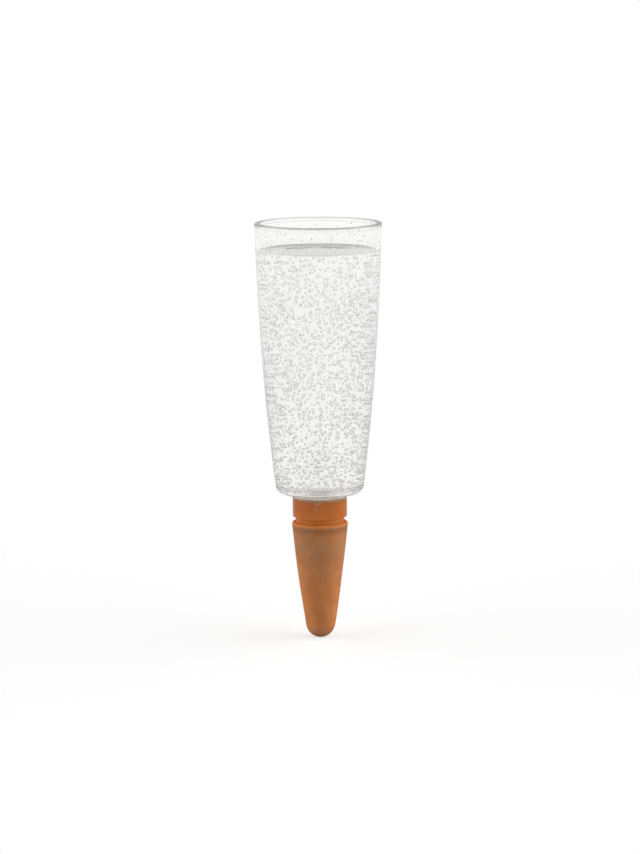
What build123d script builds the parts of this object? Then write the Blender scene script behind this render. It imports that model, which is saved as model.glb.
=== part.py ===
from build123d import *
from math import cos, radians, sin
import os

# Self watering spike: a clear cup of water whose neck is plugged onto a hollow cone of porous clay.
# Millimetres, +Z up. The origin is on the axis, on top of the clay shoulder, where the soil ends.

# Reservoir cup: side and floor
cup_height = 130.9  # underside of the floor to the rim
mouth_diameter = 61.0  # outside of the side, at the rim
base_diameter = 41.9  # outside of the side, at the underside
side_bow = 1.75  # how far the side bows out of a straight taper, at half height
cup_wall = 2.2
floor_thickness = 1.6
underside_corner_radius = 3.3
inner_corner_radius = 1.0

# Reservoir cup: rim and drain
rim_bead_projection = 0.15
rim_bead_height = 1.8
rim_outer_edge_radius = 0.9
rim_inner_edge_radius = 0.35
drain_lip = 1.7  # how far the plastic reaches in over the clay around the drain
drain_edge_chamfer = 0.8

# Reservoir cup: neck
neck_length = 11.9
neck_wall = 1.35
neck_ceiling_drop = 1.9  # how far the neck's solid top reaches below the underside
neck_gap = 2.6  # groove between the end of the neck and the clay shoulder
neck_end_radius = 0.5
neck_root_radius = 2.0
neck_lead_in = 0.4  # chamfer that lets the sealed spigot in

# Clay cone
cone_length = 57.6  # shoulder to tip
tip_dome_radius = 7.2
tip_lean = 9.0  # degrees from upright of the side, where it runs into the dome
shoulder_overhang = 0.5  # how far the shoulder stands out past the neck
shoulder_edge_radius = 1.1
spigot_diameter = 22.4
spigot_top_radius = 0.4
spigot_root_radius = 0.5
clay_wall = 4.0
chamber_mouth_chamfer = 0.5

# Silicone sleeve that seals the spigot in the neck
seal_wall = 0.6
seal_clearance = 0.05  # radial, between the sleeve and the neck
seal_setback = 0.1  # from the neck's ceiling down to the sleeve
seal_lead_in = 0.3

# Heights
neck_end_z = neck_gap
underside_z = neck_end_z + neck_length
neck_ceiling_z = underside_z - neck_ceiling_drop
floor_z = underside_z + floor_thickness
rim_z = underside_z + cup_height
bead_z = rim_z - rim_bead_height
bead_foot_z = bead_z - 2 * rim_bead_projection
tip_z = -cone_length
dome_z = tip_z + tip_dome_radius
seal_top_z = neck_ceiling_z - seal_setback
seal_foot_z = spigot_root_radius

# Radii, from the spigot outwards
spigot_radius = spigot_diameter / 2
seal_radius = spigot_radius + seal_wall
neck_bore_radius = seal_radius + seal_clearance
neck_radius = neck_bore_radius + neck_wall
shoulder_radius = neck_radius + shoulder_overhang
chamber_mouth_radius = spigot_radius - clay_wall
chamber_end_radius = tip_dome_radius - clay_wall
drain_radius = chamber_mouth_radius - drain_lip
base_radius = base_diameter / 2
mouth_radius = mouth_diameter / 2
rim_inner_radius = mouth_radius - cup_wall
bead_radius = mouth_radius + rim_bead_projection


def cup_radius(z):
    """Outside radius of the cup's side at a height: a straight taper with a bow added."""
    share = (z - underside_z) / cup_height
    straight = base_radius + (mouth_radius - base_radius) * share
    return straight + 4 * side_bow * share * (1 - share)


def cup_side(low_z, high_z, inset):
    """Arc through the ends and the middle of a stretch of the cup's side, set in by a wall."""
    heights = [low_z, (low_z + high_z) / 2, high_z]
    return ThreePointArc(*[(cup_radius(z) - inset, z) for z in heights])


def corner(section, radius, height):
    """The corner of a section that lies at a radius and a height."""
    return section.vertices().sort_by_distance((radius, height, 0))[0]


def held_to(wall, radius):
    """An edge's radius, held to the share of a wall that leaves room for the wall's other edge."""
    widest_share = 0.45
    return min(radius, widest_share * wall)


# The cup, its drain and its neck are one moulding: one section, turned about the axis
with BuildPart() as reservoir_cup:
    with BuildSketch(Plane.XZ) as cup_section:
        floor_radius = cup_radius(floor_z) - cup_wall
        with BuildLine():
            Polyline(
                (neck_bore_radius, neck_ceiling_z),
                (neck_bore_radius, neck_end_z),
                (neck_radius, neck_end_z),
                (neck_radius, underside_z),
                (base_radius, underside_z),
            )
            cup_side(underside_z, bead_foot_z, inset=0)
            Polyline(
                (cup_radius(bead_foot_z), bead_foot_z),
                (bead_radius, bead_z),
                (bead_radius, rim_z),
                (rim_inner_radius, rim_z),
            )
            cup_side(floor_z, rim_z, inset=cup_wall)
            Polyline(
                (floor_radius, floor_z),
                (drain_radius, floor_z),
                (drain_radius, neck_ceiling_z),
                (neck_bore_radius, neck_ceiling_z),
            )
        make_face()
        fillet(corner(cup_section, base_radius, underside_z), underside_corner_radius)
        fillet(corner(cup_section, floor_radius, floor_z), inner_corner_radius)
        fillet(corner(cup_section, bead_radius, rim_z), held_to(cup_wall, rim_outer_edge_radius))
        fillet(corner(cup_section, rim_inner_radius, rim_z), held_to(cup_wall, rim_inner_edge_radius))
        fillet(corner(cup_section, neck_radius, underside_z), neck_root_radius)
        fillet(corner(cup_section, neck_radius, neck_end_z), held_to(neck_wall, neck_end_radius))
        chamfer(corner(cup_section, neck_bore_radius, neck_end_z), held_to(neck_wall, neck_lead_in))
        chamfer(corner(cup_section, drain_radius, floor_z), drain_edge_chamfer)
    revolve(axis=Axis.Z)

# The cone is pressed hollow, with an even wall at its tip, and its spigot bears on the neck's ceiling
with BuildPart() as clay_cone:
    with BuildSketch(Plane.XZ) as cone_section:
        lean = radians(tip_lean)
        dome_edge = (tip_dome_radius * cos(lean), dome_z - tip_dome_radius * sin(lean))
        chamber_end_z = dome_z - chamber_end_radius
        with BuildLine():
            TangentArc((0, tip_z), dome_edge, tangent=(1, 0))
            TangentArc(dome_edge, (shoulder_radius, 0), tangent=(sin(lean), cos(lean)))
            Polyline(
                (shoulder_radius, 0),
                (spigot_radius, 0),
                (spigot_radius, neck_ceiling_z),
                (chamber_mouth_radius, neck_ceiling_z),
                (chamber_end_radius, dome_z),
            )
            TangentArc((0, chamber_end_z), (chamber_end_radius, dome_z), tangent=(1, 0))
            Line((0, chamber_end_z), (0, tip_z))
        make_face()
        ledge = shoulder_radius - spigot_radius
        fillet(corner(cone_section, shoulder_radius, 0), held_to(ledge, shoulder_edge_radius))
        fillet(corner(cone_section, spigot_radius, 0), held_to(ledge, spigot_root_radius))
        fillet(corner(cone_section, spigot_radius, neck_ceiling_z), held_to(clay_wall, spigot_top_radius))
        chamfer(
            corner(cone_section, chamber_mouth_radius, neck_ceiling_z),
            held_to(clay_wall, chamber_mouth_chamfer),
        )
    revolve(axis=Axis.Z)

# The sleeve is stretched over the spigot down to its root and stays on it when the cup is pulled off
with BuildPart() as spigot_seal:
    with BuildSketch(Plane.XY.offset(seal_foot_z)):
        Circle(seal_radius)
        Circle(spigot_radius, mode=Mode.SUBTRACT)
    extrude(amount=seal_top_z - seal_foot_z)
    top_edges = spigot_seal.edges().group_by(Axis.Z)[-1]
    chamfer(top_edges.sort_by(SortBy.RADIUS)[-1], held_to(seal_wall, seal_lead_in))

os.makedirs("parts", exist_ok=True)
pieces = {"reservoir_cup": reservoir_cup, "clay_cone": clay_cone, "spigot_seal": spigot_seal}
for name, piece in pieces.items():
    piece.part.label = name
    export_step(piece.part, f"parts/{name}.step")
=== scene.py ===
import bpy
import numpy as np
from mathutils import Matrix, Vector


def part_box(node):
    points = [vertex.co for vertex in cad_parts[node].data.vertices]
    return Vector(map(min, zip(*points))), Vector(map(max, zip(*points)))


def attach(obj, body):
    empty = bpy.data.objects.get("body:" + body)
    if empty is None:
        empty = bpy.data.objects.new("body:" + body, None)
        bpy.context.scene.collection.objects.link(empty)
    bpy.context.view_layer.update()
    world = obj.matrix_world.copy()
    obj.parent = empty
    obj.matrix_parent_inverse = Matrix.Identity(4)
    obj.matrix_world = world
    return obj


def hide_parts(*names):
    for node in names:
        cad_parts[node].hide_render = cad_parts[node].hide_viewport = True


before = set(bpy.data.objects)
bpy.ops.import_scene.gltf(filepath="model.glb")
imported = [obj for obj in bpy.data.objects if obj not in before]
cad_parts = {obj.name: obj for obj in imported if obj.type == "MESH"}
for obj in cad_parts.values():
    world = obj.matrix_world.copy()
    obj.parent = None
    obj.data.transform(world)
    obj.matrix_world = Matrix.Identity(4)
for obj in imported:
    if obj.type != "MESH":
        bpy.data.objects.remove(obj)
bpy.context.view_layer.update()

# Camera: a long lens on a stand 1.4 m in front of the spike and a little above the rim, tipped down
# towards the middle of the spike. It is rolled by a third of a degree, which leans the cup to the left.
mm = 0.001
picture_height_px = 854
focal_length_px = 2934
sensor_width = 36.0
camera_place = (0.31 * mm, -1400 * mm, 277.3 * mm)
camera_tilt = np.radians(80.63)
camera_roll = np.radians(-0.36)
camera = bpy.data.objects.new("camera", bpy.data.cameras.new("camera"))
bpy.context.scene.collection.objects.link(camera)
camera.data.sensor_width = sensor_width
camera.data.lens = sensor_width * focal_length_px / picture_height_px
camera.matrix_world = (
    Matrix.Translation(camera_place)
    @ Matrix.Rotation(camera_tilt, 4, "X")
    @ Matrix.Rotation(camera_roll, 4, "Z")
)
bpy.context.scene.camera = camera

# Clay cone: one hollow piece of porous fired clay, turned in a mould. The tapered part below its
# shoulder stands in the soil, and the spigot above the shoulder plugs into the neck of the cup.
cone_low, cone_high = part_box("clay_cone")
tip_dome_radius = 7.2 * mm
tip_lean = np.radians(9.0)
shoulder_radius = 13.7 * mm
shoulder_edge_radius = 1.1 * mm
spigot_radius = 11.2 * mm
spigot_root_radius = 0.5 * mm
spigot_top_radius = 0.4 * mm
chamber_mouth_radius = 7.2 * mm
chamber_mouth_edge = 0.4 * mm
chamber_end_radius = 3.2 * mm
clay_unevenness = 0.05 * mm
wet_contact = 0.03 * mm  # how far the wet clay is pressed into the sleeve
ceiling_gap = 0.05 * mm  # film of air between the rough clay and the neck's ceiling


def stretch(start, end, steps):
    """Points of a straight stretch from start to end, spaced by a half turn's cosine, so that they
    crowd at both ends and shading stays even next to a rounded corner."""
    share = (1 - np.cos(np.linspace(0, np.pi, steps))) / 2
    return np.asarray(start) + share[:, None] * (np.asarray(end) - np.asarray(start))


def arc(center, radius, first, last, steps):
    """Points of an arc about a center, at even steps of the angle from first to last."""
    angle = np.linspace(first, last, steps)
    return np.asarray(center) + radius * np.column_stack((np.cos(angle), np.sin(angle)))


def rounded(before, corner, after, radius, steps=9):
    """Arc that rounds a corner of an outline: it touches both sides at radius / tan(half the corner)
    from the corner, and its center lies on the line that halves the corner."""
    to_before = np.subtract(before, corner) / np.linalg.norm(np.subtract(before, corner))
    to_after = np.subtract(after, corner) / np.linalg.norm(np.subtract(after, corner))
    half = np.arccos(np.clip(to_before @ to_after, -1, 1)) / 2
    middle = (to_before + to_after) / np.linalg.norm(to_before + to_after)
    center = corner + middle * radius / np.sin(half)
    start = corner + to_before * radius / np.tan(half) - center
    end = corner + to_after * radius / np.tan(half) - center
    first = np.arctan2(start[1], start[0])
    turn = (np.arctan2(end[1], end[0]) - first + np.pi) % (2 * np.pi) - np.pi
    return arc(center, radius, first, first + turn, steps)


def joined(parts, steps):
    """Outline through parts in turn, with a straight stretch between the end of one and the next."""
    points = [parts[0]]
    for part in parts[1:]:
        points += [stretch(points[-1][-1], part[0], steps)[1:-1], part]
    return np.concatenate(points)


def turned(outline, around, looped=False):
    """Turned surface: the outline point (r, z) at the angle a becomes (r cos a, r sin a, z). A looped
    outline is closed on itself. One that starts and ends on the axis is closed there by fans."""
    radius, height = outline.T
    nearly_zero = 1e-9
    angle = np.linspace(0, 2 * np.pi, around, endpoint=False)
    column = np.arange(around)
    on_axis = radius < nearly_zero
    ring_size = np.where(on_axis, 1, around)
    ring_start = np.cumsum(ring_size) - ring_size
    index = ring_start[:, None] + np.where(on_axis[:, None], 0, column)
    grid = np.stack(np.broadcast_arrays(
        radius[:, None] * np.cos(angle), radius[:, None] * np.sin(angle), height[:, None]
    ), axis=-1)
    vertices = grid[~on_axis[:, None] | (column == 0)]
    low = index if looped else index[:-1]
    high = np.roll(index, -1, axis=0) if looped else index[1:]
    quads = np.stack((low, np.roll(low, -1, axis=1), np.roll(high, -1, axis=1), high), axis=-1)
    quads = quads.reshape(-1, 4)
    from_pole = quads[:, 0] == quads[:, 1]
    to_pole = quads[:, 2] == quads[:, 3]
    faces = quads[~from_pole & ~to_pole].tolist()
    faces += quads[from_pole][:, 1:].tolist() + quads[to_pole][:, :3].tolist()
    return vertices, faces


def piece(name, vertices, faces, material):
    """Smooth mesh object at the origin, from arrays of points and faces in metres."""
    mesh = bpy.data.meshes.new(name)
    mesh.from_pydata(vertices.tolist(), [], faces)
    mesh.shade_smooth()
    mesh.materials.append(material)
    shape = bpy.data.objects.new(name, mesh)
    bpy.context.scene.collection.objects.link(shape)
    return shape


def linear(colour):
    """Linear RGBA of an sRGB hex colour, by the sRGB curve."""
    srgb = np.array([int(colour[place:place + 2], 16) for place in (1, 3, 5)]) / 255
    curve = np.where(srgb <= 0.04045, srgb / 12.92, ((srgb + 0.055) / 1.055) ** 2.4)
    return (*curve.tolist(), 1.0)


def add(tree, kind, inputs=None, **settings):
    """Add a node to a tree. Inputs are set, or linked where the value is another node's output."""
    node = tree.nodes.new(kind)
    for name, value in settings.items():
        setattr(node, name, value)
    for socket, value in (inputs or {}).items():
        if isinstance(value, bpy.types.NodeSocket):
            tree.links.new(value, node.inputs[socket])
        else:
            node.inputs[socket].default_value = value
    return node


def new_material(name):
    """Empty node material and its tree."""
    material = bpy.data.materials.new(name)
    material.use_nodes = True
    material.node_tree.nodes.clear()
    return material, material.node_tree


# Inputs and output of a Mix node that mixes colours
FACTOR, FIRST, SECOND, MIXED = 0, 6, 7, 2

# Terracotta, unglazed: matt and warm, mottled where the fire caught it unevenly, with open pores, faint
# rings from turning, a grey-brown bloom, painted shade in a dark band under the shoulder, and a stained
# tip. The wet clay in the neck is deeper in colour, and its top is painted pale: painted light that
# stands in for the bright light seen through the neck. Pairs of heights go upwards.
tip_stain_end = cone_low.z + 8 * mm
bloom_start, bloom_full = -34 * mm, -12 * mm
# heights of the band of painted shade under the shoulder
shoulder_shade_start, shoulder_shade_full = -6 * mm, -2.6 * mm
shoulder_shade_fades, shoulder_shade_end = -2.2 * mm, -1.2 * mm
wet_start, wet_full = -1.6 * mm, -0.4 * mm
# heights over which the wet clay's top turns pale: painted light
clay_painted_light_start, clay_painted_light_full = 10.4 * mm, 12.4 * mm
wave_turn = 20  # radians that a wave texture turns in one unit, at scale 1
turning_rings = 1.3 * mm  # height in which the rings from turning go through one radian
terracotta, tree = new_material("terracotta_unglazed")
place = add(tree, "ShaderNodeTexCoord").outputs["Object"]
height = add(tree, "ShaderNodeSeparateXYZ", {"Vector": place}).outputs["Z"]
mottle = add(tree, "ShaderNodeTexNoise", {
    "Vector": place, "Scale": 1 / (7 * mm), "Detail": 4.0, "Roughness": 0.6,
}).outputs["Fac"]
tone = add(tree, "ShaderNodeMapRange", {
    "Value": mottle, "From Min": 0.3, "From Max": 0.7,
}).outputs["Result"]
fired = add(tree, "ShaderNodeMix", {
    FACTOR: tone, FIRST: linear("#B87442"), SECOND: linear("#D0864F"),
}, data_type="RGBA").outputs[MIXED]
grit = add(tree, "ShaderNodeTexNoise", {
    "Vector": place, "Scale": 1 / (0.6 * mm), "Detail": 2.0,
}).outputs["Fac"]
pores = add(tree, "ShaderNodeMapRange", {
    "Value": grit, "From Min": 0.32, "From Max": 0.46, "To Min": 0.45, "To Max": 0.0,
}).outputs["Result"]
pored = add(tree, "ShaderNodeMix", {
    FACTOR: pores, FIRST: fired, SECOND: linear("#8A5A38"),
}, data_type="RGBA").outputs[MIXED]
cloud = add(tree, "ShaderNodeTexNoise", {
    "Vector": place, "Scale": 1 / (10 * mm), "Detail": 3.0, "Roughness": 0.65,
}).outputs["Fac"]
bloom_low = add(tree, "ShaderNodeMapRange", {
    "Value": height, "From Min": bloom_start, "From Max": bloom_full,
}, interpolation_type="SMOOTHSTEP").outputs["Result"]
bloom_patch = add(tree, "ShaderNodeMapRange", {
    "Value": cloud, "From Min": 0.36, "From Max": 0.62, "To Max": 0.8,
}).outputs["Result"]
bloom = add(tree, "ShaderNodeMath", {0: bloom_low, 1: bloom_patch}, operation="MULTIPLY").outputs[0]
bloomed = add(tree, "ShaderNodeMix", {
    FACTOR: bloom, FIRST: pored, SECOND: linear("#A57B58"),
}, data_type="RGBA").outputs[MIXED]
tip_stain = add(tree, "ShaderNodeMapRange", {
    "Value": height, "From Min": cone_low.z, "From Max": tip_stain_end, "To Min": 0.5, "To Max": 0.0,
}, interpolation_type="SMOOTHSTEP").outputs["Result"]
stained = add(tree, "ShaderNodeMix", {
    FACTOR: tip_stain, FIRST: bloomed, SECOND: linear("#9C7A62"),
}, data_type="RGBA").outputs[MIXED]
# Painted shade: a darker band on the cone just under the shoulder's edge
shoulder_shade_top = add(tree, "ShaderNodeMapRange", {
    "Value": height, "From Min": shoulder_shade_fades, "From Max": shoulder_shade_end, "To Min": 1.0, "To Max": 0.0,
}, interpolation_type="SMOOTHSTEP").outputs["Result"]
shoulder_shade_low = add(tree, "ShaderNodeMapRange", {
    "Value": height, "From Min": shoulder_shade_start, "From Max": shoulder_shade_full, "To Max": 0.45,
}, interpolation_type="SMOOTHSTEP").outputs["Result"]
shoulder_shade = add(tree, "ShaderNodeMath", {0: shoulder_shade_top, 1: shoulder_shade_low}, operation="MULTIPLY").outputs[0]
shoulder_shaded = add(tree, "ShaderNodeMix", {
    FACTOR: shoulder_shade, FIRST: stained, SECOND: linear("#7A5238"),
}, data_type="RGBA").outputs[MIXED]
wetness = add(tree, "ShaderNodeMapRange", {
    "Value": height, "From Min": wet_start, "From Max": wet_full,
}, interpolation_type="SMOOTHSTEP").outputs["Result"]
wet_clay = add(tree, "ShaderNodeMix", {
    FACTOR: tone, FIRST: linear("#C87438"), SECOND: linear("#D48446"),
}, data_type="RGBA").outputs[MIXED]
# Painted light: the top of the wet clay turns pale, standing in for bright light seen through the neck
clay_painted_light = add(tree, "ShaderNodeMapRange", {
    "Value": height, "From Min": clay_painted_light_start, "From Max": clay_painted_light_full,
}, interpolation_type="SMOOTHSTEP").outputs["Result"]
wet_clay_painted_light = add(tree, "ShaderNodeMix", {
    FACTOR: clay_painted_light, FIRST: wet_clay, SECOND: linear("#EEDCC8"),
}, data_type="RGBA").outputs[MIXED]
clay_colour = add(tree, "ShaderNodeMix", {
    FACTOR: wetness, FIRST: shoulder_shaded, SECOND: wet_clay_painted_light,
}, data_type="RGBA").outputs[MIXED]
rings = add(tree, "ShaderNodeTexWave", {
    "Vector": place, "Scale": 1 / (wave_turn * turning_rings), "Distortion": 1.5, "Detail": 2.0,
    "Detail Scale": 0.6,
}, wave_type="BANDS", bands_direction="Z").outputs["Fac"]
grain_bump = add(tree, "ShaderNodeBump", {"Height": grit, "Strength": 0.35, "Distance": 0.12 * mm})
ring_bump = add(tree, "ShaderNodeBump", {
    "Height": rings, "Strength": 0.25, "Distance": 0.08 * mm, "Normal": grain_bump.outputs["Normal"],
})
clay_shader = add(tree, "ShaderNodeBsdfPrincipled", {
    "Base Color": clay_colour, "Roughness": 0.9, "Specular IOR Level": 0.25,
    "Normal": ring_bump.outputs["Normal"],
})
add(tree, "ShaderNodeOutputMaterial", {"Surface": clay_shader.outputs[0]})

dome_center = np.array((0, cone_low.z + tip_dome_radius))
tip_dome = arc(dome_center, tip_dome_radius, -np.pi / 2, -tip_lean, steps=24)
tip_dome[0, 0] = 0
dome_edge = tip_dome[-1]
chord_lean = np.arctan2(shoulder_radius - dome_edge[0], -dome_edge[1])
top_lean = 2 * chord_lean - tip_lean
side_bend = (shoulder_radius - dome_edge[0]) / (np.cos(top_lean) - np.cos(tip_lean))
side_steps = 81
shoulder_steps = 3  # left out at the top, where the shoulder's edge is rounded
side_lean = np.linspace(tip_lean, top_lean, side_steps)[1:-shoulder_steps]
cone_side = np.column_stack((
    dome_edge[0] + side_bend * (np.cos(side_lean) - np.cos(tip_lean)),
    dome_edge[1] + side_bend * (np.sin(tip_lean) - np.sin(side_lean)),
))
spigot_top = cone_high.z - ceiling_gap
shoulder = (shoulder_radius, 0)
spigot_root = (spigot_radius + wet_contact, 0)
spigot_corner = (spigot_radius + wet_contact, spigot_top)
chamber_mouth = (chamber_mouth_radius, spigot_top)
chamber_foot = (chamber_end_radius, dome_center[1])
chamber_dome = arc(dome_center, chamber_end_radius, 0, -np.pi / 2, steps=12)
chamber_dome[-1, 0] = 0
cone_outline = joined([
    np.concatenate((tip_dome, cone_side)),
    rounded(cone_side[-1], shoulder, spigot_root, shoulder_edge_radius),
    rounded(shoulder, spigot_root, spigot_corner, spigot_root_radius, steps=6),
    rounded(spigot_root, spigot_corner, chamber_mouth, spigot_top_radius),
    rounded(spigot_corner, chamber_mouth, chamber_foot, chamber_mouth_edge, steps=6),
    chamber_dome,
], steps=16)
clay_points, clay_faces = turned(cone_outline, around=160)

# Below the shoulder the cone is a little out of round: waves of three and of five lobes wind up it
clay_x, clay_y, clay_z = clay_points.T
clay_bearing = np.arctan2(clay_y, clay_x)
swell = np.sin(3 * clay_bearing + clay_z / (9 * mm)) + np.sin(5 * clay_bearing - clay_z / (6 * mm))
below_shoulder = np.clip(-clay_z / (6 * mm), 0, 1)
clay_reach = np.maximum(np.hypot(clay_x, clay_y), tip_dome_radius)
clay_points[:, :2] *= (1 + clay_unevenness * swell * below_shoulder / clay_reach)[:, None]
clay_cone = piece("clay_cone_body", clay_points, clay_faces, terracotta)
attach(clay_cone, "cone")
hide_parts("clay_cone")

# Sealing sleeve: a thin ring of terracotta-coloured silicone rubber, cut from extruded tube and
# stretched over the spigot down to its root. It fills the gap between rough clay and smooth neck.
sleeve_low, sleeve_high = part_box("spigot_seal")

# Silicone rubber: an even, deep orange with a satin skin and faint lines where the die drew it. Its top
# is painted pale, painted light that stands in for the bright light seen through the neck. It is darker
# in the groove below the neck, a painted shade, and a pale ring and dot in front are painted highlights
# of air caught there.
rubber_painted_light_start, rubber_painted_light_full = 10.7 * mm, 12.2 * mm
groove_shade_full, groove_shade_end = 2.2 * mm, 3.0 * mm
ring_center = (-1.2 * mm, sleeve_low.y, 11.1 * mm)
ring_radius = 0.95 * mm
ring_half_width = 0.3 * mm
dot_center = (-1.7 * mm, sleeve_low.y, 8.0 * mm)
dot_radius = 0.5 * mm
air_highlight_cover = 0.75
die_lines = 0.8 * mm
silicone, tree = new_material("silicone_rubber_terracotta")
place = add(tree, "ShaderNodeTexCoord").outputs["Object"]
cloudy = add(tree, "ShaderNodeTexNoise", {
    "Vector": place, "Scale": 1 / (5 * mm), "Detail": 3.0,
}).outputs["Fac"]
rubber_colour = add(tree, "ShaderNodeMix", {
    FACTOR: cloudy, FIRST: linear("#F48612"), SECOND: linear("#FA8F19"),
}, data_type="RGBA").outputs[MIXED]
height = add(tree, "ShaderNodeSeparateXYZ", {"Vector": place}).outputs["Z"]
# Painted light: the sleeve's top turns pale, standing in for bright light seen through the neck
rubber_painted_light = add(tree, "ShaderNodeMapRange", {
    "Value": height, "From Min": rubber_painted_light_start, "From Max": rubber_painted_light_full,
}, interpolation_type="SMOOTHSTEP").outputs["Result"]
rubber_lightened = add(tree, "ShaderNodeMix", {
    FACTOR: rubber_painted_light, FIRST: rubber_colour, SECOND: linear("#F4D2AC"),
}, data_type="RGBA").outputs[MIXED]
# Painted shade: the sleeve is darker in the groove between the neck's end and the shoulder
groove_shade = add(tree, "ShaderNodeMapRange", {
    "Value": height, "From Min": groove_shade_full, "From Max": groove_shade_end, "To Min": 1.0, "To Max": 0.0,
}).outputs["Result"]
rubber_groove_shaded = add(tree, "ShaderNodeMix", {
    FACTOR: groove_shade, FIRST: rubber_lightened, SECOND: linear("#C67026"),
}, data_type="RGBA").outputs[MIXED]
# Painted highlights: a pale ring and dot stand in for light in the air caught in front of the sleeve
from_ring = add(tree, "ShaderNodeVectorMath", {
    0: place, 1: ring_center,
}, operation="DISTANCE").outputs["Value"]
on_ring = add(tree, "ShaderNodeMath", {
    0: from_ring, 1: ring_radius, 2: ring_half_width,
}, operation="COMPARE").outputs[0]
from_dot = add(tree, "ShaderNodeVectorMath", {
    0: place, 1: dot_center,
}, operation="DISTANCE").outputs["Value"]
on_dot = add(tree, "ShaderNodeMath", {0: from_dot, 1: dot_radius}, operation="LESS_THAN").outputs[0]
on_air_highlight = add(tree, "ShaderNodeMath", {0: on_ring, 1: on_dot}, operation="MAXIMUM").outputs[0]
air_highlight = add(tree, "ShaderNodeMath", {
    0: on_air_highlight, 1: air_highlight_cover,
}, operation="MULTIPLY").outputs[0]
rubber_highlighted = add(tree, "ShaderNodeMix", {
    FACTOR: air_highlight, FIRST: rubber_groove_shaded, SECOND: linear("#FFDCB8"),
}, data_type="RGBA").outputs[MIXED]
drawn = add(tree, "ShaderNodeTexWave", {
    "Vector": place, "Scale": 1 / (wave_turn * die_lines), "Distortion": 1.0, "Detail": 2.0,
}, wave_type="BANDS", bands_direction="Z").outputs["Fac"]
drawn_bump = add(tree, "ShaderNodeBump", {"Height": drawn, "Strength": 0.1, "Distance": 0.05 * mm})
silicone_shader = add(tree, "ShaderNodeBsdfPrincipled", {
    "Base Color": rubber_highlighted, "Roughness": 0.5, "IOR": 1.41, "Specular IOR Level": 0.3,
    "Normal": drawn_bump.outputs["Normal"],
})
add(tree, "ShaderNodeOutputMaterial", {"Surface": silicone_shader.outputs[0]})
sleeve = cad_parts["spigot_seal"]
sleeve.data.materials.clear()
sleeve.data.materials.append(silicone)

# Reservoir cup: one clear injection moulding of a bowed taper, with a beaded rim, a thin floor with a
# drain hole and a short neck that is pushed over the sleeve. A few air bubbles were caught in its wall.
cup_low, cup_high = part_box("reservoir_cup")
mouth_radius = 30.5 * mm
base_radius = 20.95 * mm
side_bow = 1.75 * mm
cup_wall = 2.2 * mm
cup_floor = 1.6 * mm
neck_length = 11.9 * mm
neck_radius = 13.2 * mm
drain_radius = 5.5 * mm
bead_height = 1.8 * mm
rim_outer_radius = 0.9 * mm
rim_inner_radius = 0.35 * mm
drain_edge_radius = 0.9 * mm
base_corner_radius = 3.3 * mm
floor_corner_radius = 1.0 * mm
neck_root_radius = 2.0 * mm
neck_end_radius = 0.5 * mm
moulded_edge_radius = 0.3 * mm
sleeve_squeeze = 0.02 * mm  # how far the neck presses into the sleeve
underside = cup_low.z + neck_length
neck_ceiling = cone_high.z
floor_top = underside + cup_floor
rim = cup_high.z
bead_radius = cup_high.x
bead_foot = rim - bead_height - 2 * (bead_radius - mouth_radius)
neck_bore = sleeve_high.x - sleeve_squeeze


def taper(z):
    """Outside radius of the cup's side at a height, without its bow: a straight line."""
    return base_radius + (mouth_radius - base_radius) * (z - underside) / (rim - underside)


def bow(z):
    """How far the side bows out of its straight taper: a parabola, nothing at the base and the rim."""
    share = np.clip((z - underside) / (rim - underside), 0, 1)
    return 4 * side_bow * share * (1 - share)


bore_top = (neck_bore, neck_ceiling)
bore_end = (neck_bore, cup_low.z)
neck_end = (neck_radius, cup_low.z)
neck_root = (neck_radius, underside)
base_corner = (base_radius, underside)
bead_start = (taper(bead_foot), bead_foot)
bead_corner = (bead_radius, rim - bead_height)
rim_outside = (bead_radius, rim)
rim_inside = (mouth_radius - cup_wall, rim)
floor_corner = (taper(floor_top) - cup_wall, floor_top)
drain_top = (drain_radius, floor_top)
drain_end = (drain_radius, neck_ceiling)
cup_outline = joined([
    rounded(drain_end, bore_top, bore_end, moulded_edge_radius, steps=5),
    rounded(bore_top, bore_end, neck_end, moulded_edge_radius, steps=5),
    rounded(bore_end, neck_end, neck_root, neck_end_radius, steps=7),
    rounded(neck_end, neck_root, base_corner, neck_root_radius, steps=7),
    rounded(neck_root, base_corner, bead_start, base_corner_radius, steps=13),
    rounded(base_corner, bead_start, bead_corner, moulded_edge_radius, steps=4),
    rounded(bead_start, bead_corner, rim_outside, moulded_edge_radius, steps=4),
    rounded(bead_corner, rim_outside, rim_inside, rim_outer_radius, steps=13),
    rounded(rim_outside, rim_inside, floor_corner, rim_inner_radius, steps=7),
    rounded(rim_inside, floor_corner, drain_top, floor_corner_radius, steps=9),
    rounded(floor_corner, drain_top, drain_end, drain_edge_radius, steps=7),
    rounded(drain_top, drain_end, bore_top, moulded_edge_radius, steps=5),
], steps=12)
on_side = cup_outline[:, 0] > neck_radius + neck_root_radius
cup_outline[:, 0] += np.where(on_side, bow(cup_outline[:, 1]), 0)
cup_outline[:, 0] = np.minimum(cup_outline[:, 0], bead_radius)
cup_points, cup_faces = turned(cup_outline, around=200, looped=True)


def spread(count, low, high, low_radius, high_radius):
    """Bearings and heights of points spread evenly over a tapered wall: each point is a golden angle
    further round, and the heights share the wall's area out equally."""
    share = (np.arange(count) + 0.5) / count
    ratio = np.sqrt(low_radius ** 2 + share * (high_radius ** 2 - low_radius ** 2))
    height = low + (high - low) * (ratio - low_radius) / (high_radius - low_radius)
    golden_angle = np.pi * (3 - np.sqrt(5))
    return np.arange(count) * golden_angle, height


def placed(reach, bearing, height):
    """Points from their reach off the axis, bearing and height: (r cos a, r sin a, z)."""
    return np.column_stack((reach * np.cos(bearing), reach * np.sin(bearing), height))


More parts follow.
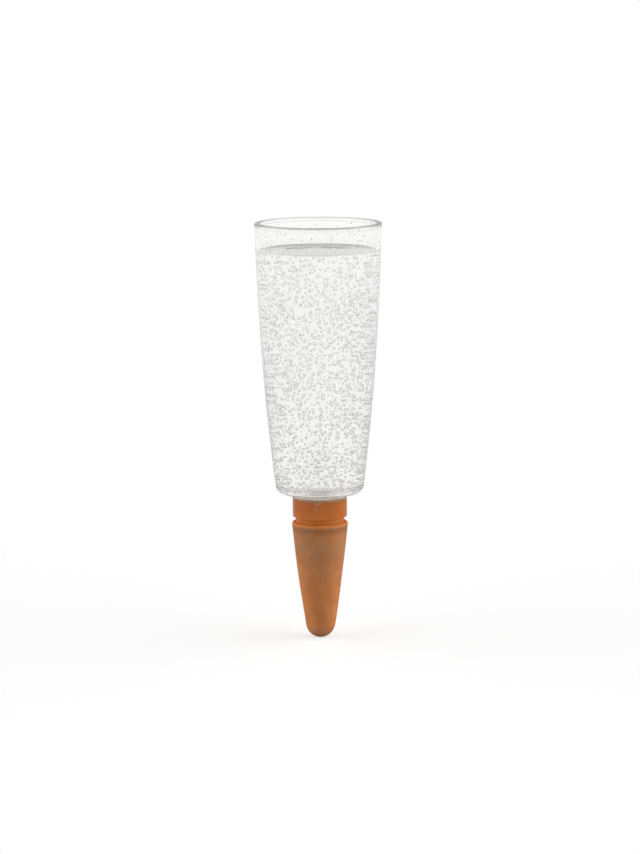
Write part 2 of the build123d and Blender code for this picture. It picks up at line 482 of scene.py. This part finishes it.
def with_voids(points, faces, centers, radii):
    """A closed surface together with the bubbles inside it. Each bubble is a small globe of 6 columns and
    3 bands about its center, turned inside out, because its surface faces the air in the bubble."""
    columns, bands = 6, 3
    globe_outline = arc((0, 0), 1, -np.pi / 2, np.pi / 2, bands + 1)
    globe_outline[[0, -1], 0] = 0
    globe, globe_faces = turned(globe_outline, columns)
    void_points = centers[:, None] + radii[:, None, None] * globe
    first = len(points) + np.arange(len(centers)) * len(globe)
    void_faces = []
    for corners in (4, 3):
        pattern = np.array([face[::-1] for face in globe_faces if len(face) == corners])
        void_faces += (first[:, None, None] + pattern).reshape(-1, corners).tolist()
    return np.concatenate((points, void_points.reshape(-1, 3))), faces + void_faces


chance = np.random.default_rng(seed=5)
water_level = 131.4 * mm
wall_bubble_count = 420
wall_bubble_mm = (0.26, 0.48)  # least and greatest radius
wall_top = rim - 3 * mm
wall_turn, wall_climb_mm = 0.2, 1.5  # how far chance moves a bubble, round the wall and along it
splash_count = 60
splash_mm = (0.26, 0.42)
splash_margin = 2.5 * mm  # above the water and below the rim
splash_widening = 1 * mm  # of the wall over that height
splash_turn = 0.3
wall_bearing, wall_height = spread(wall_bubble_count, floor_top, wall_top, base_radius, mouth_radius)
wall_bearing = wall_bearing + chance.uniform(-wall_turn, wall_turn, wall_bubble_count)
wall_height = wall_height + chance.uniform(-wall_climb_mm, wall_climb_mm, wall_bubble_count) * mm
wall_bubble_radius = chance.uniform(*wall_bubble_mm, wall_bubble_count) * mm
splash_bearing, splash_height = spread(
    splash_count, water_level + splash_margin, rim - splash_margin,
    mouth_radius, mouth_radius + splash_widening,
)
splash_bearing = splash_bearing + chance.uniform(-splash_turn, splash_turn, splash_count)
splash_radius = chance.uniform(*splash_mm, splash_count) * mm
wall_bearing = np.concatenate((wall_bearing, splash_bearing))
wall_height = np.concatenate((wall_height, splash_height))
wall_bubble_radius = np.concatenate((wall_bubble_radius, splash_radius))
wall_middle = taper(wall_height) + bow(wall_height) - cup_wall / 2
wall_centers = placed(wall_middle, wall_bearing, wall_height)
cup_points, cup_faces = with_voids(cup_points, cup_faces, wall_centers, wall_bubble_radius)

# Styrene plastic, clear and polished: bends light strongly, is faintly grey through its thickness, and
# has the slow waves of a moulded wall. The trimmed rim and the floor's underside are satin, the corner
# at the base is faintly so, and the solid top of the neck is tinted warm: painted warm light, as if
# from the clay below it.
wave_roughness = 0.03
underside_roughness = 0.3
corner_roughness = 0.08
rim_roughness = 0.4
styrene, tree = new_material("styrene_plastic_clear")
place = add(tree, "ShaderNodeTexCoord").outputs["Object"]
flow = add(tree, "ShaderNodeTexNoise", {
    "Vector": place, "Scale": 1 / (30 * mm), "Detail": 2.0,
}).outputs["Fac"]
plastic_tint = add(tree, "ShaderNodeMix", {
    FACTOR: flow, FIRST: linear("#FEFEFD"), SECOND: linear("#FAFAF9"),
}, data_type="RGBA").outputs[MIXED]
polish = add(tree, "ShaderNodeMapRange", {
    "Value": flow, "To Min": 0.0, "To Max": wave_roughness,
}).outputs["Result"]
height = add(tree, "ShaderNodeSeparateXYZ", {"Vector": place}).outputs["Z"]
flattened = add(tree, "ShaderNodeVectorMath", {
    0: place, 1: (1, 1, 0),
}, operation="MULTIPLY").outputs[0]
from_axis = add(tree, "ShaderNodeVectorMath", {0: flattened}, operation="LENGTH").outputs["Value"]
beyond_neck = add(tree, "ShaderNodeMapRange", {
    "Value": from_axis, "From Min": neck_radius + 0.3 * mm, "From Max": neck_radius + 0.8 * mm,
    "To Max": underside_roughness,
}).outputs["Result"]
on_base = add(tree, "ShaderNodeMapRange", {
    "Value": height, "From Min": floor_top - 0.9 * mm, "From Max": floor_top - 0.2 * mm,
    "To Min": 1.0, "To Max": 0.0,
}).outputs["Result"]
on_corner = add(tree, "ShaderNodeMapRange", {
    "Value": from_axis, "From Min": base_radius - 1.7 * mm, "From Max": base_radius - 1.5 * mm,
    "To Max": corner_roughness,
}).outputs["Result"]
corner_height = add(tree, "ShaderNodeMapRange", {
    "Value": height, "From Min": floor_top, "From Max": floor_top + 2 * mm, "To Min": 1.0, "To Max": 0.0,
}).outputs["Result"]
underside_satin = add(tree, "ShaderNodeMath", {
    0: beyond_neck, 1: on_base,
}, operation="MULTIPLY").outputs[0]
corner_satin = add(tree, "ShaderNodeMath", {
    0: on_corner, 1: corner_height,
}, operation="MULTIPLY").outputs[0]
foot_satin = add(tree, "ShaderNodeMath", {
    0: underside_satin, 1: corner_satin,
}, operation="MAXIMUM").outputs[0]
base_satin = add(tree, "ShaderNodeMath", {0: foot_satin, 1: polish}, operation="ADD").outputs[0]
on_rim = add(tree, "ShaderNodeMapRange", {
    "Value": height, "From Min": rim - 1.3 * mm, "From Max": rim - 0.9 * mm, "To Max": rim_roughness,
}).outputs["Result"]
satin = add(tree, "ShaderNodeMath", {0: on_rim, 1: base_satin}, operation="ADD").outputs[0]
# Painted warm light: the solid top of the neck is tinted warm, as if lit by the clay below
over_neck = add(tree, "ShaderNodeMapRange", {
    "Value": height, "From Min": underside - 0.5 * mm, "From Max": underside + 1 * mm,
    "To Min": 1.0, "To Max": 0.0,
}).outputs["Result"]
at_ceiling = add(tree, "ShaderNodeMapRange", {
    "Value": height, "From Min": neck_ceiling - 0.3 * mm, "From Max": neck_ceiling - 0.1 * mm,
}).outputs["Result"]
neck_top_warm_light = add(tree, "ShaderNodeMath", {0: over_neck, 1: at_ceiling}, operation="MULTIPLY").outputs[0]
plastic_colour = add(tree, "ShaderNodeMix", {
    FACTOR: neck_top_warm_light, FIRST: plastic_tint, SECOND: linear("#F7E9D8"),
}, data_type="RGBA").outputs[MIXED]
wave_bump = add(tree, "ShaderNodeBump", {"Height": flow, "Strength": 0.1, "Distance": 0.5 * mm})
styrene_shader = add(tree, "ShaderNodeBsdfPrincipled", {
    "Base Color": plastic_colour, "Roughness": satin, "IOR": 1.55, "Transmission Weight": 1.0,
    "Normal": wave_bump.outputs["Normal"],
})
add(tree, "ShaderNodeOutputMaterial", {"Surface": styrene_shader.outputs[0]})
reservoir_cup = piece("reservoir_cup_clear", cup_points, cup_faces, styrene)
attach(reservoir_cup, "cup")
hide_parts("reservoir_cup")

# Water: fills the cup and its drain to a finger's breadth below the rim, and climbs a little at the
# wall. Air that came out of it clings to the wall in patches, as thousands of small bubbles, and some
# lie under the surface. The water wets the plastic, so no air is between the two.
wall_bite = 0.12 * mm  # how far the water reaches into the plastic
floor_bite = 0.03 * mm
meniscus_rise = 1.2 * mm
meniscus_reach = 2.0 * mm
surface_rings = 40
first_ring_radius = 0.5 * mm  # round the axis, at the foot of the drain
surface_radius = taper(water_level + meniscus_rise) - cup_wall + wall_bite
water_floor = floor_top - floor_bite


def surface(reach):
    """Height of the water's surface at a reach off the axis: level in the middle, and rising towards the
    wall by an exponential curve."""
    return water_level + meniscus_rise * np.exp((reach - surface_radius) / meniscus_reach)


water_middle = (0, neck_ceiling)
water_drain = (drain_radius + wall_bite, neck_ceiling)
water_drain_top = (drain_radius + wall_bite, water_floor)
water_corner = (taper(floor_top) - cup_wall + wall_bite, water_floor)
water_edge = (surface_radius, water_level + meniscus_rise)
surface_reach = surface_radius * (1 + np.cos(np.linspace(0, np.pi, surface_rings)[1:])) / 2
surface_reach[-1] = 0
water_outline = joined([
    np.array((water_middle, (first_ring_radius, neck_ceiling))),
    rounded(water_middle, water_drain, water_drain_top, moulded_edge_radius, steps=5),
    rounded(water_drain, water_drain_top, water_corner, drain_edge_radius, steps=7),
    rounded(water_drain_top, water_corner, water_edge, floor_corner_radius, steps=9),
    np.concatenate(((water_edge,), np.column_stack((surface_reach, surface(surface_reach))))),
], steps=24)
wets_wall = water_outline[:, 0] > 2 * drain_radius
wall_share = np.clip(water_outline[:, 0] / (taper(water_outline[:, 1]) - cup_wall), 0, 1)
water_outline[:, 0] += np.where(wets_wall, bow(water_outline[:, 1]) * wall_share, 0)
water_points, water_faces = turned(water_outline, around=128)

# Bubbles on the wall: most are large, and each stands a little way off the plastic
bubble_tries = 12000
bubble_low = floor_top + 1.2 * mm
bubble_high = water_level - 0.6 * mm
large_share = 0.7
large_mm, small_mm = (0.55, 0.8), (0.35, 0.48)  # least and greatest radius
least_off_wall = 0.1 * mm
mean_off_wall_mm = 0.25  # beyond the least
depth = spread(
    bubble_tries, bubble_low, bubble_high, taper(bubble_low) - cup_wall, taper(bubble_high) - cup_wall
)[1]
bearing = chance.uniform(0, 2 * np.pi, bubble_tries)
large = chance.random(bubble_tries) < large_share
bubble_radius = np.where(
    large, chance.uniform(*large_mm, bubble_tries), chance.uniform(*small_mm, bubble_tries)
) * mm
off_wall = least_off_wall + chance.exponential(mean_off_wall_mm, bubble_tries) * mm
bubble_reach = taper(depth) + bow(depth) - cup_wall - off_wall - bubble_radius
bubble_centers = placed(bubble_reach, bearing, depth)

# Bubbles that have risen: a raft just under the surface, denser towards the wall
raft_count = 130
raft_mm = (0.3, 0.6)
raft_margin = 1 * mm  # from the wall
raft_depth = 1.3  # in radii, below the surface
raft_film = 0.1 * mm
raft_bearing = chance.uniform(0, 2 * np.pi, raft_count)
raft_reach = (surface_radius - raft_margin) * np.sqrt(1 - chance.random(raft_count) ** 2)
raft_radius = chance.uniform(*raft_mm, raft_count) * mm
raft_height = surface(raft_reach) - raft_depth * raft_radius - raft_film
raft_centers = placed(raft_reach, raft_bearing, raft_height)


def apart(centers, radii, space, neighbours=320):
    """Which globes to keep so that none comes nearer to a lower one than a space. The globes come in
    order of height, and each is held against those next below it."""
    clear = np.full(len(centers), True)
    for step in range(1, neighbours):
        distance = np.linalg.norm(centers[step:] - centers[:-step], axis=1)
        clear[step:] &= ~clear[:-step] | (distance > radii[step:] + radii[:-step] + space)
    return clear


# Fewer cling near the floor and near the surface, and waves across the wall leave barer patches
crowd_heights = np.array((20, 26, 34, 100, 112, 129)) * mm
crowd_shares = (0.75, 0.85, 1.0, 1.0, 0.75, 0.6)
patch_waves = ((7, 5), (5, -7), (11, 3))  # lobes round the wall, millimetres up it to a radian
patch_edge = 0.2
patch_bareness = 0.7
bubble_space = 0.05 * mm
bubble_centers = np.concatenate((bubble_centers, raft_centers))
bubble_radius = np.concatenate((bubble_radius, raft_radius))
upwards = np.argsort(bubble_centers[:, 2])
bubble_centers, bubble_radius = bubble_centers[upwards], bubble_radius[upwards]
crowding = np.interp(bubble_centers[:, 2], crowd_heights, crowd_shares)
bubble_bearing = np.arctan2(bubble_centers[:, 1], bubble_centers[:, 0])
climb = bubble_centers[:, 2] / mm
patches = sum(np.sin(lobes * bubble_bearing + climb / rise) for lobes, rise in patch_waves)
bare = patch_bareness * np.clip(patches - patch_edge, 0, 1)
thinned = chance.random(len(crowding)) < crowding * (1 - bare)
bubble_centers, bubble_radius = bubble_centers[thinned], bubble_radius[thinned]
kept = apart(bubble_centers, bubble_radius, bubble_space)
water_points, water_faces = with_voids(
    water_points, water_faces, bubble_centers[kept], bubble_radius[kept]
)

# Tap water: clear and hardly tinted, with a still surface that a faint ripple breaks up.
ripple_strength = 0.2
tap_water, tree = new_material("tap_water")
place = add(tree, "ShaderNodeTexCoord").outputs["Object"]
height = add(tree, "ShaderNodeSeparateXYZ", {"Vector": place}).outputs["Z"]
ripple = add(tree, "ShaderNodeTexNoise", {
    "Vector": place, "Scale": 1 / (8 * mm), "Detail": 2.0,
}).outputs["Fac"]
water_tint = add(tree, "ShaderNodeMix", {
    FACTOR: ripple, FIRST: linear("#FEFEFE"), SECOND: linear("#FBFBFB"),
}, data_type="RGBA").outputs[MIXED]
at_surface = add(tree, "ShaderNodeMapRange", {
    "Value": height, "From Min": water_level - 0.2 * mm, "From Max": water_level - 0.1 * mm,
    "To Max": ripple_strength,
}).outputs["Result"]
ripple_bump = add(tree, "ShaderNodeBump", {
    "Height": ripple, "Strength": at_surface, "Distance": 0.5 * mm,
})
water_shader = add(tree, "ShaderNodeBsdfPrincipled", {
    "Base Color": water_tint, "Roughness": 0.0, "IOR": 1.333, "Transmission Weight": 1.0,
    "Normal": ripple_bump.outputs["Normal"],
})
add(tree, "ShaderNodeOutputMaterial", {"Surface": water_shader.outputs[0]})
water = piece("water", water_points, water_faces, tap_water)
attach(water, "cup")

# Studio: a round sheet of white card under the tip, in a tent of white cloth whose two sides are lit from
# behind, a little more to the right and to the front, and whose top is dim. Where the clear pieces show
# the card, it is shaded round the tip.
card_radius = 20.0
card_rings = 12
card_reflectance = 0.5
tent_low, tent_sides = 0.24, 4.4
tent_right, tent_front = 0.14, 0.4  # how much brighter the sides are to the right and to the front
tent_top = 0.6
top_start, top_full = 0.2, 0.55  # upward share of the direction
side_mean = 1 / 8  # mean of x to the fourth over the sky, as a flat card gathers it
card_light = card_reflectance * (tent_low + tent_sides * side_mean)
shade_narrowing = (2.2, 1, 1)
shade_start, shade_end = 0.26, 0.4  # metres from the tip, for what is seen through the cup
shade_middle = 0.46
mirrored_start, mirrored_end = 0.5, 1.2  # metres from the tip, for what is mirrored in the cup
mirrored_middle, mirrored_outside = 0.45, 0.8
light_bounces = 96


def sees_background(tree):
    """1 for what the eye sees directly, mirrored or through clear pieces, and 0 for light on the clay
    and the card: a camera, glossy or transmitted ray that has not yet left a matt surface."""
    path = add(tree, "ShaderNodeLightPath").outputs
    seen = add(tree, "ShaderNodeMath", {
        0: path["Is Camera Ray"], 1: path["Is Glossy Ray"],
    }, operation="MAXIMUM").outputs[0]
    seen = add(tree, "ShaderNodeMath", {
        0: seen, 1: path["Is Transmission Ray"],
    }, operation="MAXIMUM").outputs[0]
    before_matt = add(tree, "ShaderNodeMath", {
        0: path["Diffuse Depth"], 1: 0.5,
    }, operation="LESS_THAN").outputs[0]
    return add(tree, "ShaderNodeMath", {0: seen, 1: before_matt}, operation="MULTIPLY").outputs[0]


card, tree = new_material("white_card")
card_paper = add(tree, "ShaderNodeBsdfDiffuse", {"Color": (card_reflectance,) * 3 + (1,)})
card_place = add(tree, "ShaderNodeTexCoord").outputs["Object"]
from_tip = add(tree, "ShaderNodeVectorMath", {0: card_place}, operation="LENGTH").outputs["Value"]
narrowed = add(tree, "ShaderNodeVectorMath", {
    0: card_place, 1: shade_narrowing,
}, operation="MULTIPLY").outputs[0]
from_middle = add(tree, "ShaderNodeVectorMath", {0: narrowed}, operation="LENGTH").outputs["Value"]
card_middle = add(tree, "ShaderNodeMapRange", {
    "Value": from_middle, "From Min": shade_start, "From Max": shade_end,
    "To Min": shade_middle, "To Max": 1.0,
}, interpolation_type="SMOOTHSTEP").outputs["Result"]
card_mirrored = add(tree, "ShaderNodeMapRange", {
    "Value": from_tip, "From Min": mirrored_start, "From Max": mirrored_end,
    "To Min": mirrored_middle, "To Max": mirrored_outside,
}, interpolation_type="SMOOTHSTEP").outputs["Result"]
card_path = add(tree, "ShaderNodeLightPath").outputs
card_around = add(tree, "ShaderNodeMix", {
    "Factor": card_path["Is Reflection Ray"], "A": card_middle, "B": card_mirrored,
}, data_type="FLOAT").outputs["Result"]
card_shade = add(tree, "ShaderNodeMath", {
    0: card_around, 1: card_path["Is Camera Ray"],
}, operation="MAXIMUM").outputs[0]
card_glow = add(tree, "ShaderNodeMath", {
    0: card_shade, 1: card_light,
}, operation="SUBTRACT").outputs[0]
card_seen = add(tree, "ShaderNodeMath", {
    0: sees_background(tree), 1: card_glow,
}, operation="MULTIPLY").outputs[0]
card_white = add(tree, "ShaderNodeEmission", {
    "Color": (1, 1, 1, 1), "Strength": card_seen,
})
card_shader = add(tree, "ShaderNodeAddShader", {0: card_paper.outputs[0], 1: card_white.outputs[0]})
add(tree, "ShaderNodeOutputMaterial", {"Surface": card_shader.outputs[0]})
card_outline = np.column_stack((
    np.linspace(card_radius, 0, card_rings), np.full(card_rings, cone_low.z),
))
card_points, card_faces = turned(card_outline, around=96)
floor = piece("floor", card_points, card_faces, card)

world = bpy.data.worlds.new("studio_tent")
bpy.context.scene.world = world
world.use_nodes = True
tree = world.node_tree
tree.nodes.clear()
direction = add(tree, "ShaderNodeTexCoord").outputs["Generated"]
toward = add(tree, "ShaderNodeSeparateXYZ", {"Vector": direction}).outputs
top_shade = add(tree, "ShaderNodeMapRange", {
    "Value": toward["Z"], "From Min": top_start, "From Max": top_full, "To Min": 1.0, "To Max": tent_top,
}, interpolation_type="SMOOTHSTEP").outputs["Result"]
direct = add(tree, "ShaderNodeLightPath").outputs["Is Camera Ray"]
background = add(tree, "ShaderNodeMath", {0: top_shade, 1: direct}, operation="MAXIMUM").outputs[0]
seen_tent = add(tree, "ShaderNodeBackground", {
    "Color": (1, 1, 1, 1), "Strength": background,
})
sideways = add(tree, "ShaderNodeMath", {0: toward["X"], 1: toward["X"]}, operation="MULTIPLY").outputs[0]
to_sides = add(tree, "ShaderNodeMath", {0: sideways, 1: sideways}, operation="MULTIPLY").outputs[0]
right_lean = add(tree, "ShaderNodeMath", {
    0: toward["X"], 1: tent_right * tent_sides, 2: tent_sides,
}, operation="MULTIPLY_ADD").outputs[0]
front_lean = add(tree, "ShaderNodeMath", {
    0: toward["Y"], 1: -tent_front * tent_sides, 2: right_lean,
}, operation="MULTIPLY_ADD").outputs[0]
tent_light = add(tree, "ShaderNodeMath", {
    0: to_sides, 1: front_lean, 2: tent_low,
}, operation="MULTIPLY_ADD").outputs[0]
lit_tent = add(tree, "ShaderNodeBackground", {"Color": (1, 1, 1, 1), "Strength": tent_light})
tent = add(tree, "ShaderNodeMixShader", {
    0: sees_background(tree), 1: lit_tent.outputs[0], 2: seen_tent.outputs[0],
})
add(tree, "ShaderNodeOutputWorld", {"Surface": tent.outputs[0]})

scene = bpy.context.scene
scene.view_settings.view_transform = "Standard"
scene.cycles.max_bounces = light_bounces
scene.cycles.transmission_bounces = light_bounces
scene.cycles.glossy_bounces = light_bounces
